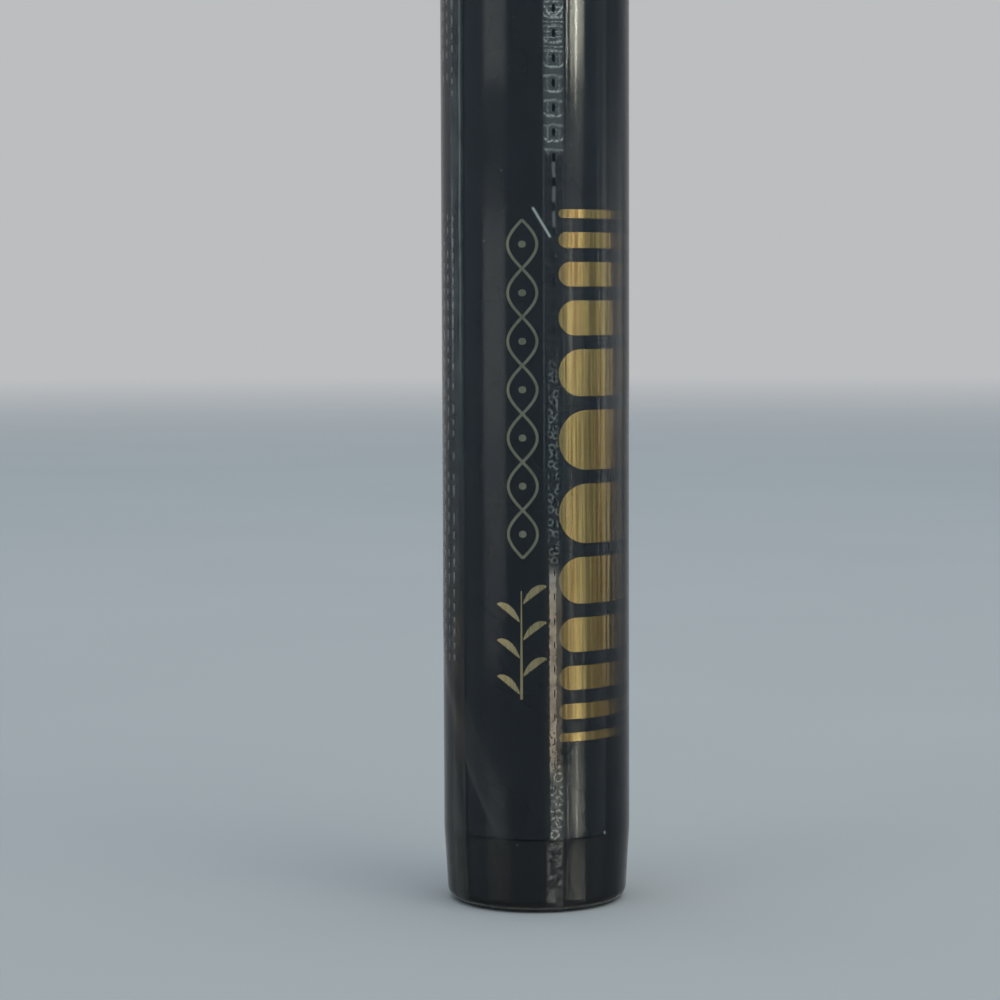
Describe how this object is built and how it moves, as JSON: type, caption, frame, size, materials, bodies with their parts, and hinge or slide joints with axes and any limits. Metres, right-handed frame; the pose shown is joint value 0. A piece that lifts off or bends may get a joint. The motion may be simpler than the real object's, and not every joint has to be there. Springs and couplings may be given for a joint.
{
  "type": "liquid eyeliner pen",
  "caption": "Round capped pen with a felt nib fed from an ink tank through a comb collector, standing on its tail plug, still in clear shrink film with a tear line.",
  "frame": {"origin": "centre of the base, on the plane that the pen stands on", "axes": "+Z along the pen from the tail to the cap, and the film's tear line faces -Y, turned 11 degrees towards +X"},
  "size_m": [0.011, 0.011, 0.137],
  "materials": {
    "gloss_black": "high gloss moulding",
    "satin_black": "satin moulding",
    "natural_polypropylene": "natural, slightly translucent",
    "natural_polyethylene": "natural, waxy",
    "collector_resin": "etched so that ink wets it",
    "seal_rubber": "moulded",
    "wick_fibre": "bonded fibre rod",
    "inked_felt": "bonded felt, soaked with black ink",
    "steel": "bright stainless",
    "clear_film": "clear shrink film"
  },
  "bodies": {
    "barrel": {"barrel": "gloss_black", "tail_plug": "satin_black", "ink_tube": "natural_polypropylene", "tank_stopper": "natural_polyethylene", "collector": "collector_resin", "collector_o_ring": "seal_rubber", "relay_wick": "wick_fibre", "nose_section": "satin_black", "nib_sleeve": "satin_black", "nib": "inked_felt", "barrel_film": "clear_film"},
    "neck_ring": {"neck_o_ring": "seal_rubber"},
    "cap": {"cap_shell": "gloss_black", "cap_top_plug": "satin_black", "cap_bush": "natural_polyethylene", "inner_cap_spring": "steel", "cap_film": "clear_film"},
    "inner_cap": {"inner_cap": "natural_polyethylene"},
    "ball": {"mixing_ball": "steel"}
  },
  "joints": [
    {"name": "cap_turn", "type": "hinge", "parent": "barrel", "child": "neck_ring", "pos_m": [0, 0, 0.0885], "axis": [0, 0, 1], "continuous": true},
    {"name": "cap_pull", "type": "slide", "parent": "neck_ring", "child": "cap", "axis": [0, 0, 1], "range_m": [0, 0.05]},
    {"name": "inner_cap_float", "type": "slide", "parent": "cap", "child": "inner_cap", "axis": [0, 0, 1], "range_m": [0, 0.0012], "stiffness_N_per_m": 150, "springref_m": -0.004, "deforming": ["inner_cap_spring"]},
    {"name": "ball_roll", "type": "slide", "parent": "barrel", "child": "ball", "axis": [0, 0, 1], "range_m": [0, 0.024]}
  ]
}
